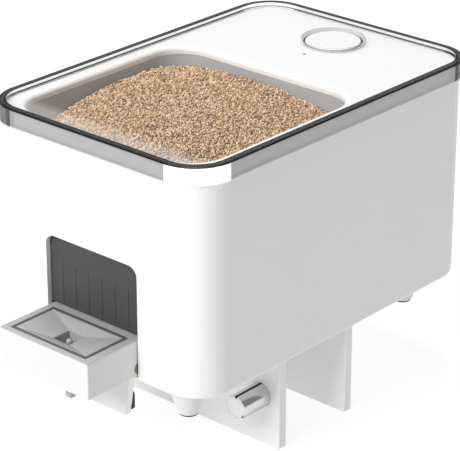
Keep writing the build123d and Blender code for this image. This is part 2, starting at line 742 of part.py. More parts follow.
# ---- clamp jaws ----------------------------------------------------------------------------------
def jaw(y0, holes):
    """One jaw plate, screwed up to the base plate along its top edge."""
    plate = slab(-jaw_half, jaw_half, y0, y0 + jaw_thick, -jaw_drop, 0)
    plate = fillet(plate.edges().filter_by(Axis.Y).group_by(Axis.Z)[0], jaw_corner_r)
    plate = fillet(plate.faces().sort_by(Axis.Z)[0].edges().filter_by(Axis.X), jaw_edge_r)
    for x, y in jaw_screw_places:
        if y0 < y < y0 + jaw_thick:
            plate -= rod(x, y, -7.0, 1, 1.02)
    if holes:
        for x in (-thumbscrew_x, thumbscrew_x):
            plate -= rod_y(x, y0 - 1, y0 + jaw_thick + 1, thumbscrew_z, thumbscrew_r + running_fit)
            plate -= rod_y(x, y0 + jaw_thick - insert_length, y0 + jaw_thick + 1, thumbscrew_z, insert_r)
    return plate


parts["front_jaw"] = jaw(jaw_front_y, True)
parts["rear_jaw"] = jaw(jaw_rear_y, False)
parts["jaw_screws"] = [pan_screw(x, y, base_thick, 8.5, 1.0, 1.9, 1.2) for x, y in jaw_screw_places]
grip = slab(-grip_half, grip_half, jaw_rear_y - 1.0, jaw_rear_y, -jaw_drop + 3, -3)
parts["rear_jaw_pad"] = fillet(grip.edges().filter_by(Axis.Y), 2.0)


jaw_back = jaw_front_y + jaw_thick
screw_nose = jaw_front_y - thumbscrew_out


def thumbscrew(x):
    """Smooth round screw, softly rounded at its nose, with a neck for the pressure pad behind the jaw."""
    body = rod_y(x, screw_nose, jaw_back + 0.5, thumbscrew_z, thumbscrew_r)
    ends = body.edges().filter_by(GeomType.CIRCLE).sort_by(Axis.Y)
    body = fillet(ends[0], 0.3)
    body -= rod_y(x, screw_nose - 1, screw_nose + 0.8, thumbscrew_z, thumbscrew_cap_r)
    return body + rod_y(x, jaw_back, jaw_back + pad_reach - 0.8, thumbscrew_z, pad_neck_r)


for name, x in (("left", -thumbscrew_x), ("right", thumbscrew_x)):
    parts["thumbscrew_" + name] = thumbscrew(x)
    cap = rod_y(x, screw_nose, screw_nose + 0.8, thumbscrew_z, thumbscrew_cap_r)
    parts["thumbscrew_cap_" + name] = fillet(cap.edges().filter_by(GeomType.CIRCLE).sort_by(Axis.Y)[0], 0.15)
    pad_y1 = jaw_back + pad_reach
    pad = rod_y(x, pad_y1 - pad_thick, pad_y1, thumbscrew_z, pad_r)
    pad = fillet(pad.edges().filter_by(GeomType.CIRCLE), 0.4)
    socket = rod_y(x, pad_y1 - pad_thick - 1, pad_y1 - 0.75, thumbscrew_z, pad_neck_r + running_fit)
    parts["pressure_pad_" + name] = pad - socket
inserts = []
for x in (-thumbscrew_x, thumbscrew_x):
    insert = rod_y(x, jaw_back - insert_length, jaw_back, thumbscrew_z, insert_r)
    inserts.append(insert - rod_y(x, jaw_front_y - 1, 0, thumbscrew_z, thumbscrew_r + running_fit))
parts["thread_inserts"] = inserts


# ---- feet and front tab --------------------------------------------------------------------------
def foot(x, y):
    """A tapered foot that pegs into the base plate."""
    tip = -foot_height + 0.6
    slope = (foot_top_r - foot_tip_r) / foot_height
    low_r = foot_tip_r + slope * 0.6
    cone = Pos(x, y, tip) * Cone(low_r, foot_top_r, -tip, align=(Align.CENTER, Align.CENTER, Align.MIN))
    return cone + rod(x, y, -0.2, base_thick, foot_peg_r)


for name, (x, y) in zip(("front_left", "front_right", "rear_left", "rear_right"), foot_places):
    parts["foot_" + name] = foot(x, y)
tips = []
for x, y in foot_places:
    tip = rod(x, y, -foot_height, -foot_height + 0.6, foot_tip_r)
    tips.append(fillet(tip.edges().filter_by(GeomType.CIRCLE).sort_by(Axis.Z)[0], 0.3))
parts["foot_tips"] = tips


def locating_tab():
    """Tapered tab under the front, on a flange, open at the top where the spout passes."""
    outline = Polyline(
        (-tab_top_half, 0),
        (tab_top_half, 0),
        (tab_bottom_half, -tab_drop),
        (-tab_bottom_half, -tab_drop),
        close=True,
    )
    plate = extrude(Plane.XZ.offset(-front_y) * make_face(outline), amount=-tab_thick)
    flange_y1 = front_y + tab_thick + tab_flange
    half = tab_top_half - 1.5
    plate += slab(-half, half, front_y + tab_thick, flange_y1, -tab_flange_thick, 0)
    plate -= slab(-spout_path, spout_path, front_y - 1, flange_y1 + 1, spout_bottom - 0.5, 1)
    plate -= slab(-foot_path, foot_path, front_y - 1, flange_y1 + 1, valve_foot_bottom - 0.7, 1)
    for x in (-tab_screw_x, tab_screw_x):
        plate -= rod(x, tab_screw_y, -5, 1, 0.9)
    return plate


foot_path = valve_foot / 2 + 0.5
parts["locating_tab"] = locating_tab()
tab_rear = front_y + tab_thick
cushion_half = tab_bottom_half + 0.5
cushion = slab(-cushion_half, cushion_half, tab_rear, tab_rear + 1.2, -tab_drop + 0.7, -tab_drop + 6.0)
cushion = fillet(cushion.edges().filter_by(Axis.Y), 0.8)
parts["tab_cushion"] = cushion - slab(-foot_path, foot_path, tab_rear - 1, tab_rear + 2, valve_foot_bottom - 0.7, 1)
parts["tab_screws"] = [
    pan_screw(x, tab_screw_y, -tab_flange_thick, 2.7, 0.8, 1.6, 0.8, up=-1) for x in (-tab_screw_x, tab_screw_x)
]

# ---- write ---------------------------------------------------------------------------------------
os.makedirs("parts", exist_ok=True)
for name, shape in parts.items():
    solid = Compound(children=[Solid(s.solids()[0].wrapped) for s in shape]) if isinstance(shape, list) else shape
    export_step(solid, f"parts/{name}.step")
print(len(parts), "pieces")
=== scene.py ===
import math

import bpy
import numpy as np
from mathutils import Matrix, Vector


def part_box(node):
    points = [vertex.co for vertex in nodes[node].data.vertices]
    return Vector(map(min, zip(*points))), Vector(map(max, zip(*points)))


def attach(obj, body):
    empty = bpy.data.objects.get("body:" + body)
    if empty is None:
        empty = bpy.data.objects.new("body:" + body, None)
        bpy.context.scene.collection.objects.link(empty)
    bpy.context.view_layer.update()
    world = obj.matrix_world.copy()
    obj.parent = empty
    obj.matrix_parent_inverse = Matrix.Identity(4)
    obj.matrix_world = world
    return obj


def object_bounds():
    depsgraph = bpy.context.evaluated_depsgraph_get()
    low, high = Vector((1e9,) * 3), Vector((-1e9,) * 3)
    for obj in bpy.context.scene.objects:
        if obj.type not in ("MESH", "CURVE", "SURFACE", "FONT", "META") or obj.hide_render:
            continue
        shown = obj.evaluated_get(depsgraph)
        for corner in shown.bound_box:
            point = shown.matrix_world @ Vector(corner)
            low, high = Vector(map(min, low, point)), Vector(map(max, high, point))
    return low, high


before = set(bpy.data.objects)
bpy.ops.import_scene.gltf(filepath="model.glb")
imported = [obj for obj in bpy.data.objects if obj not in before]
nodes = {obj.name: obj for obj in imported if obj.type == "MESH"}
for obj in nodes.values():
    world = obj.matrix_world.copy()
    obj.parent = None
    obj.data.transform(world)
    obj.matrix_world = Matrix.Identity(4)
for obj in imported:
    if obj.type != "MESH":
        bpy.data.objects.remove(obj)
cad_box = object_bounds()
bpy.ops.object.select_all(action="DESELECT")

# ---- camera ----
# A long lens looks down on the feeder from its front right corner, aimed at the middle of the casing.
view_azimuth = math.radians(41.68)
view_elevation = math.radians(24.13)
view_distance = 0.64144
view_target = Vector((-0.00232, 0.00933, 0.02038))
toward_camera = Vector((
    math.sin(view_azimuth) * math.cos(view_elevation),
    -math.cos(view_azimuth) * math.cos(view_elevation),
    math.sin(view_elevation),
))
bpy.ops.object.camera_add(location=view_target + toward_camera * view_distance)
camera = bpy.context.object
camera.name = "studio_camera"
camera.rotation_euler = toward_camera.to_track_quat("Z", "Y").to_euler()
camera.data.sensor_width = 36.0
camera.data.lens = 176.3
camera.data.clip_start = 0.01
bpy.context.scene.camera = camera

# ---- studio ----
# A white sweep that glows from below like a light table, a soft key light in front and a small one above.
floor_z = cad_box[0][2]
bpy.ops.mesh.primitive_plane_add(size=6.0, location=(0, 0, floor_z))
floor = bpy.context.object
floor.name = "studio_floor"
floor_paint = bpy.data.materials.new("studio_floor_paint")
floor_paint.use_nodes = True
floor_shader = floor_paint.node_tree.nodes["Principled BSDF"]
floor_shader.inputs["Base Color"].default_value = (0.2, 0.2, 0.2, 1)
floor_shader.inputs["Emission Color"].default_value = (1, 1, 1, 1)
floor_shader.inputs["Emission Strength"].default_value = 0.84
floor_shader.inputs["Roughness"].default_value = 0.8
floor.data.materials.append(floor_paint)

surround = bpy.data.worlds.new("studio_surround")
surround.use_nodes = True
surround.node_tree.nodes["Background"].inputs["Color"].default_value = (1, 1, 1, 1)
surround.node_tree.nodes["Background"].inputs["Strength"].default_value = 0.25
bpy.context.scene.world = surround
bpy.context.scene.view_settings.view_transform = "Standard"

bpy.ops.object.light_add(type="AREA", location=(-0.05, -1.25, 1.0))
key = bpy.context.object
key.name = "key_light"
key.data.shape = "DISK"
key.data.size = 0.9
key.data.energy = 24
key.rotation_euler = (key.location - view_target).to_track_quat("Z", "Y").to_euler()
bpy.ops.object.light_add(type="AREA", location=(-0.3, 0.25, 1.3))
top_light = bpy.context.object
top_light.name = "top_light"
top_light.data.shape = "DISK"
top_light.data.size = 0.5
top_light.data.energy = 9
top_light.rotation_euler = (top_light.location - view_target).to_track_quat("Z", "Y").to_euler()


# ---- casing ----
# The casing is one white gloss ABS moulding, open above and below, with the drawer window in its front.
# Its skin has a very fine orange peel, and its gloss drifts slightly across the flat walls.
def step(tree, operation, *values):
    """One arithmetic node, fed by numbers or by other nodes' outputs. Returns its output."""
    node = tree.nodes.new("ShaderNodeMath")
    node.operation = operation
    for socket, value in zip(node.inputs, values):
        if isinstance(value, bpy.types.NodeSocket):
            tree.links.new(value, socket)
        else:
            socket.default_value = value
    return node.outputs[0]


def new_effect(name, takes, gives):
    """An empty shader group with these inputs and outputs, and its two end nodes."""
    effect = bpy.data.node_groups.new(name, "ShaderNodeTree")
    kinds = {1: "NodeSocketFloat", 3: "NodeSocketVector", 4: "NodeSocketColor"}
    for label, value in takes.items():
        kind = kinds[len(value) if isinstance(value, tuple) else 1]
        effect.interface.new_socket(name=label, in_out="INPUT", socket_type=kind).default_value = value
    for label, size in gives.items():
        effect.interface.new_socket(name=label, in_out="OUTPUT", socket_type=kinds[size])
    return effect, effect.nodes.new("NodeGroupInput").outputs, effect.nodes.new("NodeGroupOutput").inputs


moulded_skin, taken, given = new_effect(
    "moulded_skin",
    {"Color": (0.9, 0.9, 0.9, 1.0), "Mottle": 0.03, "Roughness": 0.3, "Peel Scale": 900.0},
    {"Color": 4, "Roughness": 1, "Peel": 1},
)
place = moulded_skin.nodes.new("ShaderNodeTexCoord")
drift = moulded_skin.nodes.new("ShaderNodeTexNoise")
drift.inputs["Scale"].default_value = 30.0
drift.inputs["Detail"].default_value = 1.0
peel = moulded_skin.nodes.new("ShaderNodeTexNoise")
peel.inputs["Detail"].default_value = 3.0
shaded = moulded_skin.nodes.new("ShaderNodeVectorMath")
shaded.operation = "SCALE"
moulded_skin.links.new(place.outputs["Object"], drift.inputs["Vector"])
moulded_skin.links.new(place.outputs["Object"], peel.inputs["Vector"])
moulded_skin.links.new(taken["Peel Scale"], peel.inputs["Scale"])
drop = step(moulded_skin, "MULTIPLY", drift.outputs["Fac"], taken["Mottle"])
moulded_skin.links.new(taken["Color"], shaded.inputs[0])
moulded_skin.links.new(step(moulded_skin, "SUBTRACT", 1.0, drop), shaded.inputs["Scale"])
moulded_skin.links.new(shaded.outputs["Vector"], given["Color"])
sheen = step(moulded_skin, "MULTIPLY_ADD", drift.outputs["Fac"], 0.04, taken["Roughness"])
moulded_skin.links.new(sheen, given["Roughness"])
moulded_skin.links.new(peel.outputs["Fac"], given["Peel"])


def finished_with(effect, name, settings, relief_depth, relief="Peel"):
    """A material whose colour, roughness and relief come from an effect."""
    finish = bpy.data.materials.new(name)
    finish.use_nodes = True
    tree = finish.node_tree
    shader = tree.nodes["Principled BSDF"]
    surface = tree.nodes.new("ShaderNodeGroup")
    surface.node_tree = effect
    for label, value in settings.items():
        surface.inputs[label].default_value = value
    bump = tree.nodes.new("ShaderNodeBump")
    bump.inputs["Strength"].default_value = relief_depth
    bump.inputs["Distance"].default_value = 0.0001
    tree.links.new(surface.outputs[relief], bump.inputs["Height"])
    tree.links.new(bump.outputs["Normal"], shader.inputs["Normal"])
    tree.links.new(surface.outputs["Color"], shader.inputs["Base Color"])
    tree.links.new(surface.outputs["Roughness"], shader.inputs["Roughness"])
    return finish


def moulded(name, color, roughness, mottle=0.03, peel_scale=900.0, peel_depth=0.08):
    """A moulded plastic or rubber."""
    settings = {"Color": (*color, 1.0), "Mottle": mottle, "Roughness": roughness, "Peel Scale": peel_scale}
    return finished_with(moulded_skin, name, settings, peel_depth)


def place_xyz(tree):
    """The X, Y and Z outputs of the point being shaded, in its object's own frame."""
    place = tree.nodes.new("ShaderNodeTexCoord")
    split = tree.nodes.new("ShaderNodeSeparateXYZ")
    tree.links.new(place.outputs["Object"], split.inputs[0])
    return split.outputs


def dress(finish, *names):
    """Puts a finish on CAD nodes."""
    for name in names:
        nodes[name].data.materials.clear()
        nodes[name].data.materials.append(finish)


gloss_white = moulded("gloss_white_abs", (0.81, 0.81, 0.81), 0.3, 0.012, 900.0, 0.04)
dress(gloss_white, "casing")

# ---- base plate ----
# The base plate is the same white ABS with a satin skin, screwed up into four bosses of the casing.
# It is the floor that the drawer runs over.
satin_white = moulded("satin_white_abs", (0.88, 0.88, 0.88), 0.42, 0.05, 1400.0, 0.15)
dress(satin_white, "base_plate")


# ---- small screws ----
# Zinc-plated steel pan heads hold the base, the jaws, the tab, the motor bracket and the board.
# Plating leaves a fine cloudy grain, drawn out along the length of each piece.
drawn_metal, taken, given = new_effect(
    "drawn_metal",
    {"Color": (0.6, 0.6, 0.6, 1.0), "Roughness": 0.3, "Stretch": (2500.0, 2500.0, 300.0)},
    {"Color": 4, "Roughness": 1, "Lines": 1},
)
place = drawn_metal.nodes.new("ShaderNodeTexCoord")
stretched = drawn_metal.nodes.new("ShaderNodeVectorMath")
stretched.operation = "MULTIPLY"
lines = drawn_metal.nodes.new("ShaderNodeTexNoise")
lines.inputs["Scale"].default_value = 1.0
lines.inputs["Detail"].default_value = 4.0
shaded = drawn_metal.nodes.new("ShaderNodeVectorMath")
shaded.operation = "SCALE"
drawn_metal.links.new(place.outputs["Object"], stretched.inputs[0])
drawn_metal.links.new(taken["Stretch"], stretched.inputs[1])
drawn_metal.links.new(stretched.outputs["Vector"], lines.inputs["Vector"])
drawn_metal.links.new(taken["Color"], shaded.inputs[0])
cloud = step(drawn_metal, "MULTIPLY_ADD", lines.outputs["Fac"], 0.3, 0.85)
drawn_metal.links.new(cloud, shaded.inputs["Scale"])
drawn_metal.links.new(shaded.outputs["Vector"], given["Color"])
rubbed = step(drawn_metal, "MULTIPLY_ADD", lines.outputs["Fac"], 0.2, taken["Roughness"])
drawn_metal.links.new(rubbed, given["Roughness"])
drawn_metal.links.new(lines.outputs["Fac"], given["Lines"])


def metal(name, color, roughness, stretch):
    """A drawn or turned metal."""
    settings = {"Color": (*color, 1.0), "Roughness": roughness, "Stretch": stretch}
    finish = finished_with(drawn_metal, name, settings, 0.1, "Lines")
    finish.node_tree.nodes["Principled BSDF"].inputs["Metallic"].default_value = 1.0
    return finish


dress(
    metal("zinc_plate", (0.62, 0.62, 0.6), 0.3, (2500.0, 2500.0, 400.0)),
    "base_screws", "board_screws", "bracket_screw", "jaw_screws", "tab_screws",
)

# ---- deck ----
# The deck is the white panel under the lid, with the mouth of the hopper and the hole for the button.
# It is the casing's ABS, set a little brighter.
deck_white = moulded("deck_white_abs", (0.86, 0.86, 0.86), 0.3)
dress(deck_white, "top_deck")

# ---- hopper basin ----
# The basin is a polypropylene moulding with steep walls that slope in to the outlet.
# Food dust leaves its skin dull, and its grey is painted shade for the inside of the basin.
# Painted shade: the basin's colour is set dark grey for the shade inside it.
hopper_shade_grey = moulded("hopper_painted_shade_grey", (0.38, 0.385, 0.39), 0.5, 0.06, 700.0, 0.12)
dress(hopper_shade_grey, "hopper_basin")

# ---- food ----
# Dry pellets the size of millet lie heaped in the basin, highest in the middle.
# A dark bed stands for the mass of the food, its near-black colour painted shade in the gaps between
# pellets, and single pellets lie over it, packed below and loose above.
# All of it is the scene's own, since the CAD hopper is empty.
wall_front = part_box("hopper_basin")[0][1] + 0.0016
food_half = 0.0328
food_front = wall_front + 0.0005
food_rear = wall_front + 0.0655
food_mid = (food_front + food_rear) / 2
food_corner = 0.0090
pellet_size = 0.00037
pellet_gap = 0.00072
food_seed = 11
bed_below = 0.0004
bed_depth = 0.006
loose_above = 0.00038
loose_share = 0.3


def heap_height(x, y):
    """Height of the top of the food."""
    dx, dy = x + 0.005, y
    shoulder = np.minimum(0.0045 * (dx * dy * 1000) ** 2, 0.0075)
    return 0.0613 - 1.3 * dx ** 2 - 1.1 * dy ** 2 - shoulder


def within_food(x, y, margin):
    """Whether a point is inside the rounded outline of the basin, by this margin."""
    over_x = np.maximum(np.abs(x) - (food_half - food_corner), 0)
    over_y = np.maximum(np.abs(y - food_mid) - ((food_rear - food_front) / 2 - food_corner), 0)
    return np.hypot(over_x, over_y) < food_corner - margin


bpy.ops.mesh.primitive_grid_add(x_subdivisions=60, y_subdivisions=60, size=2.0, location=(0, food_mid, 0))
food_bed = bpy.context.object
food_bed.name = "food_bed"
bpy.ops.object.mode_set(mode="EDIT")
bpy.ops.mesh.select_all(action="SELECT")
bpy.ops.transform.resize(
    value=(food_half, (food_rear - food_front) / 2, 1), center_override=(0, food_mid, 0)
)
bpy.ops.object.mode_set(mode="OBJECT")
bpy.ops.object.transform_apply(location=True, rotation=True, scale=True)
for vertex in food_bed.data.vertices:
    x, y, _ = vertex.co
    centre_x = math.copysign(food_half - food_corner, x)
    centre_y = food_mid + math.copysign((food_rear - food_front) / 2 - food_corner, y - food_mid)
    away = Vector((x - centre_x, y - centre_y))
    in_corner = abs(x) > abs(centre_x) and abs(y - food_mid) > abs(centre_y - food_mid)
    if in_corner and away.length > food_corner:
        away *= food_corner / away.length
        x, y = centre_x + away.x, centre_y + away.y
    vertex.co = (x, y, heap_height(x, y) - bed_below)
bpy.ops.object.mode_set(mode="EDIT")
bpy.ops.mesh.select_all(action="SELECT")
bpy.ops.mesh.extrude_region_move(TRANSFORM_OT_translate={"value": (0, 0, -bed_depth)})
bpy.ops.transform.resize(value=(0.93, 0.95, 0), center_override=(0, food_mid - 0.0015, 0.048))
bpy.ops.mesh.select_all(action="SELECT")
bpy.ops.mesh.normals_make_consistent(inside=False)
bpy.ops.object.mode_set(mode="OBJECT")
bpy.ops.object.shade_smooth()
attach(food_bed, "housing")

bpy.ops.object.select_all(action="DESELECT")
bpy.ops.mesh.primitive_ico_sphere_add(subdivisions=1, radius=pellet_size, location=(0, 0, 0))
first_pellet = bpy.context.object
bpy.ops.object.mode_set(mode="EDIT")
bpy.ops.mesh.select_all(action="SELECT")
bpy.ops.transform.resize(value=(1.28, 0.92, 0.88), center_override=(0, 0, 0))
bpy.ops.object.mode_set(mode="OBJECT")
pellet_points = np.array([v.co[:] for v in first_pellet.data.vertices])
pellet_faces = np.array([p.vertices[:] for p in first_pellet.data.polygons])
bpy.data.objects.remove(first_pellet)


def pour(name, places, luck):
    """One piece made of a copy of the first pellet at each place, each turned its own way."""
    count = len(places)
    turn = luck.normal(size=(count, 4))
    turn /= np.linalg.norm(turn, axis=1, keepdims=True)
    w, x, y, z = turn.T
    spins = np.stack([
        1 - 2 * (y * y + z * z), 2 * (x * y - z * w), 2 * (x * z + y * w),
        2 * (x * y + z * w), 1 - 2 * (x * x + z * z), 2 * (y * z - x * w),
        2 * (x * z - y * w), 2 * (y * z + x * w), 1 - 2 * (x * x + y * y),
    ], axis=1).reshape(count, 3, 3)
    sizes = luck.uniform(0.82, 1.12, size=(count, 1, 1))
    points = np.einsum("nij,kj->nki", spins, pellet_points) * sizes + places[:, None, :]
    faces = pellet_faces[None] + np.arange(count)[:, None, None] * len(pellet_points)
    mesh = bpy.data.meshes.new(name)
    mesh.from_pydata(points.reshape(-1, 3).tolist(), [], faces.reshape(-1, 3).tolist())
    mesh.polygons.foreach_set("use_smooth", [True] * len(mesh.polygons))
    tone = mesh.attributes.new("tone", "FLOAT", "POINT")
    tone.data.foreach_set("value", np.repeat(luck.beta(2.2, 2.0, size=count), len(pellet_points)))
    mesh.update()
    poured = bpy.data.objects.new(name, mesh)
    bpy.context.collection.objects.link(poured)
    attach(poured, "housing")
    return poured


luck = np.random.default_rng(food_seed)
rows = np.arange(food_front, food_rear, pellet_gap * 0.866)
packed = []
for index, y in enumerate(rows):
    across = np.arange(-food_half, food_half, pellet_gap) + (index % 2) * pellet_gap / 2
    packed.append(np.stack([across, np.full(len(across), y)], axis=1))
packed = np.concatenate(packed) + luck.uniform(-0.26, 0.26, size=(sum(map(len, packed)), 2)) * pellet_gap
packed = packed[within_food(packed[:, 0], packed[:, 1], 0.0004)]
heights = heap_height(packed[:, 0], packed[:, 1]) + luck.normal(0, 0.00014, len(packed))
packed_pellets = pour("food_pellets_packed", np.column_stack([packed, heights]), luck)
loose = packed[luck.random(len(packed)) < loose_share] + pellet_gap * 0.5
loose = loose[within_food(loose[:, 0], loose[:, 1], 0.0006)]
heights = heap_height(loose[:, 0], loose[:, 1]) + loose_above + luck.normal(0, 0.0001, len(loose))
loose_pellets = pour("food_pellets_loose", np.column_stack([loose, heights]), luck)

pellet_crust = moulded("pellet_crust", (0.5, 0.3, 0.17), 0.75, 0.2, 2600.0, 0.5)
pellet_tree = pellet_crust.node_tree
tone = pellet_tree.nodes.new("ShaderNodeAttribute")
tone.attribute_name = "tone"
bake_colors = pellet_tree.nodes.new("ShaderNodeValToRGB")
ramp = bake_colors.color_ramp
ramp.elements[0].position = 0.0
ramp.elements[0].color = (0.16, 0.075, 0.03, 1)
ramp.elements[1].position = 1.0
ramp.elements[1].color = (0.93, 0.72, 0.5, 1)
ramp.elements.new(0.35).color = (0.44, 0.26, 0.13, 1)
ramp.elements.new(0.7).color = (0.68, 0.46, 0.27, 1)
pellet_tree.links.new(tone.outputs["Fac"], bake_colors.inputs["Fac"])
pellet_shader = pellet_tree.nodes["Principled BSDF"]
pellet_tree.links.new(bake_colors.outputs["Color"], pellet_shader.inputs["Base Color"])
for piece in (packed_pellets, loose_pellets):
    piece.data.materials.append(pellet_crust)
# Painted shade: the bed is near black for the shade between and under the pellets.
food_bed.data.materials.append(moulded("food_gap_painted_shade", (0.06, 0.03, 0.015), 0.9, 0.4, 1500.0, 0.6))


# ---- lid ----
# The lid is clear polycarbonate with a skirt that drops over the casing's shoulder.
# Its near-black edge is painted shade with a painted glint line, its grey skirt is painted shade with a
# painted glow, and two corners are painted shade and two glowing painted highlights, all set by position.
outline_distance, taken, given = new_effect(
    "outline_distance",
    {"Half Width": 0.04, "Half Length": 0.059, "Middle": 0.009, "Corner": 0.012},
    {"Distance": 1, "Corner Zone": 1, "Diagonal": 1, "Turn": 1},
)
place = place_xyz(outline_distance)
from_middle = step(outline_distance, "SUBTRACT", place["Y"], taken["Middle"])
reach_x = step(outline_distance, "SUBTRACT", taken["Half Width"], taken["Corner"])
reach_y = step(outline_distance, "SUBTRACT", taken["Half Length"], taken["Corner"])
over_x = step(outline_distance, "SUBTRACT", step(outline_distance, "ABSOLUTE", place["X"]), reach_x)
over_y = step(outline_distance, "SUBTRACT", step(outline_distance, "ABSOLUTE", from_middle), reach_y)
past_x = step(outline_distance, "MAXIMUM", over_x, 0.0)
past_y = step(outline_distance, "MAXIMUM", over_y, 0.0)
square_x = step(outline_distance, "MULTIPLY", past_x, past_x)
square_sum = step(outline_distance, "MULTIPLY_ADD", past_y, past_y, square_x)
round_part = step(outline_distance, "SQRT", square_sum)
flat_part = step(outline_distance, "MINIMUM", step(outline_distance, "MAXIMUM", over_x, over_y), 0.0)
whole = step(outline_distance, "ADD", round_part, flat_part)
outline_distance.links.new(step(outline_distance, "SUBTRACT", whole, taken["Corner"]), given["Distance"])
corner_x = step(outline_distance, "GREATER_THAN", over_x, 0.0)
corner_y = step(outline_distance, "GREATER_THAN", over_y, 0.0)
outline_distance.links.new(step(outline_distance, "MULTIPLY", corner_x, corner_y), given["Corner Zone"])
diagonal = step(outline_distance, "MULTIPLY", place["X"], from_middle)
outline_distance.links.new(step(outline_distance, "GREATER_THAN", diagonal, 0.0), given["Diagonal"])
outline_distance.links.new(step(outline_distance, "ARCTAN2", past_y, past_x), given["Turn"])

lid_low, lid_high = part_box("lid")
button_low, button_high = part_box("button")
button_mid_y = (button_low[1] + button_high[1]) / 2
lid_hole = 0.0092
edge_drop = 0.0003
lid_wall = 0.0013
edge_rim = 0.0023

clear_lid = moulded("clear_polycarbonate", (0.95, 0.95, 0.95), 0.06, 0.01, 500.0, 0.01)
lid_tree = clear_lid.node_tree
lid_shader = lid_tree.nodes["Principled BSDF"]
outline = lid_tree.nodes.new("ShaderNodeGroup")
outline.node_tree = outline_distance
outline.inputs["Half Width"].default_value = (lid_high[0] - lid_low[0]) / 2
outline.inputs["Half Length"].default_value = (lid_high[1] - lid_low[1]) / 2
outline.inputs["Middle"].default_value = (lid_high[1] + lid_low[1]) / 2
place = place_xyz(lid_tree)


def ease(tree, value, start, end):
    """0 before start, 1 after end, and a straight rise between them. Start may be the larger."""
    rise = tree.nodes.new("ShaderNodeMapRange")
    rise.inputs["From Min"].default_value = start
    rise.inputs["From Max"].default_value = end
    tree.links.new(value, rise.inputs["Value"])
    return rise.outputs["Result"]


def lay_over(tree, mask, below, above):
    """The colour or number above where the mask is 1, over the one below."""
    mix = tree.nodes.new("ShaderNodeMix")
    is_color = isinstance(above, tuple)
    mix.data_type = "RGBA" if is_color else "FLOAT"
    tree.links.new(mask, mix.inputs[0])
    first, second = (mix.inputs[6], mix.inputs[7]) if is_color else (mix.inputs[2], mix.inputs[3])
    for socket, value in ((first, below), (second, above)):
        if isinstance(value, bpy.types.NodeSocket):
            tree.links.new(value, socket)
        else:
            socket.default_value = (*value, 1.0) if is_color else value
    return mix.outputs[2] if is_color else mix.outputs[0]


def recolor(finish, mask, color):
    """Lays a colour over a finish's own where the mask is 1."""
    tree = finish.node_tree
    base = tree.nodes["Principled BSDF"].inputs["Base Color"]
    tree.links.new(lay_over(tree, mask, base.links[0].from_socket, color), base)


def button_distance(tree):
    """How far a point is from the axis of the button."""
    place = place_xyz(tree)
    along = step(tree, "SUBTRACT", place["Y"], button_mid_y)
    squares = step(tree, "MULTIPLY_ADD", along, along, step(tree, "MULTIPLY", place["X"], place["X"]))
    return step(tree, "SQRT", squares)


inward = outline.outputs["Distance"]
height = place["Z"]
on_rim = ease(lid_tree, inward, -edge_rim - 0.0001, -edge_rim + 0.0001)
below_top = ease(lid_tree, height, lid_high[2] - edge_drop, lid_high[2] - edge_drop - 0.0001)
near_wall = ease(lid_tree, inward, -lid_wall - 0.00015, -lid_wall - 0.00005)
on_skirt = step(lid_tree, "MULTIPLY", below_top, near_wall)
on_edge = step(lid_tree, "MULTIPLY", on_rim, step(lid_tree, "SUBTRACT", 1.0, on_skirt))
# Painted glint: a lighter line inside the dark edge.
glint = step(
    lid_tree, "MULTIPLY",
    ease(lid_tree, inward, -0.0016, -0.0014),
    ease(lid_tree, inward, -0.0009, -0.0011),
)
# Painted shade on two corners of the skirt, painted highlights on the other two.
in_corner = step(lid_tree, "MULTIPLY", outline.outputs["Corner Zone"], on_skirt)
corner_shade = step(lid_tree, "MULTIPLY", in_corner, outline.outputs["Diagonal"])
streaks = step(lid_tree, "SINE", step(lid_tree, "MULTIPLY", outline.outputs["Turn"], 22.0))
streaks = step(lid_tree, "MULTIPLY_ADD", streaks, 0.12, 0.86)
corner_shade = step(lid_tree, "MULTIPLY", corner_shade, streaks)
corner_highlight = step(lid_tree, "MULTIPLY", in_corner, step(lid_tree, "SUBTRACT", 1.0, outline.outputs["Diagonal"]))
from_button = button_distance(lid_tree)
hole_edge = ease(lid_tree, from_button, lid_hole + 0.00035, lid_hole + 0.00025)
haze = ease(lid_tree, place["Y"], lid_low[1] + 0.0105, lid_low[1] + 0.0055)

# Grey skirt and near-black edge are painted shade; the bright corners are painted highlights.
lid_color = lay_over(lid_tree, on_skirt, (0.95, 0.95, 0.95), (0.23, 0.23, 0.23))
lid_color = lay_over(lid_tree, corner_highlight, lid_color, (0.97, 0.97, 0.97))
lid_color = lay_over(lid_tree, corner_shade, lid_color, (0.06, 0.055, 0.05))
lid_color = lay_over(lid_tree, on_edge, lid_color, (0.006, 0.007, 0.008))
lid_color = lay_over(lid_tree, step(lid_tree, "MULTIPLY", on_edge, glint), lid_color, (0.045, 0.05, 0.055))
lid_color = lay_over(lid_tree, hole_edge, lid_color, (0.5, 0.5, 0.5))
lid_tree.links.new(lid_color, lid_shader.inputs["Base Color"])
lid_cover = lay_over(lid_tree, haze, 0.04, 0.22)
lid_cover = lay_over(lid_tree, on_skirt, lid_cover, 0.7)
lid_cover = lay_over(lid_tree, in_corner, lid_cover, 0.93)
lid_cover = lay_over(lid_tree, on_edge, lid_cover, 0.96)
lid_cover = lay_over(lid_tree, hole_edge, lid_cover, 0.55)
seen_from = lid_tree.nodes.new("ShaderNodeNewGeometry")
off_edge = step(lid_tree, "SUBTRACT", 1.0, on_edge)
soft_part = step(lid_tree, "MULTIPLY", seen_from.outputs["Backfacing"], off_edge)
inside_fade = step(lid_tree, "MULTIPLY_ADD", soft_part, -0.6, 1.0)
lid_tree.links.new(step(lid_tree, "MULTIPLY", lid_cover, inside_fade), lid_shader.inputs["Alpha"])
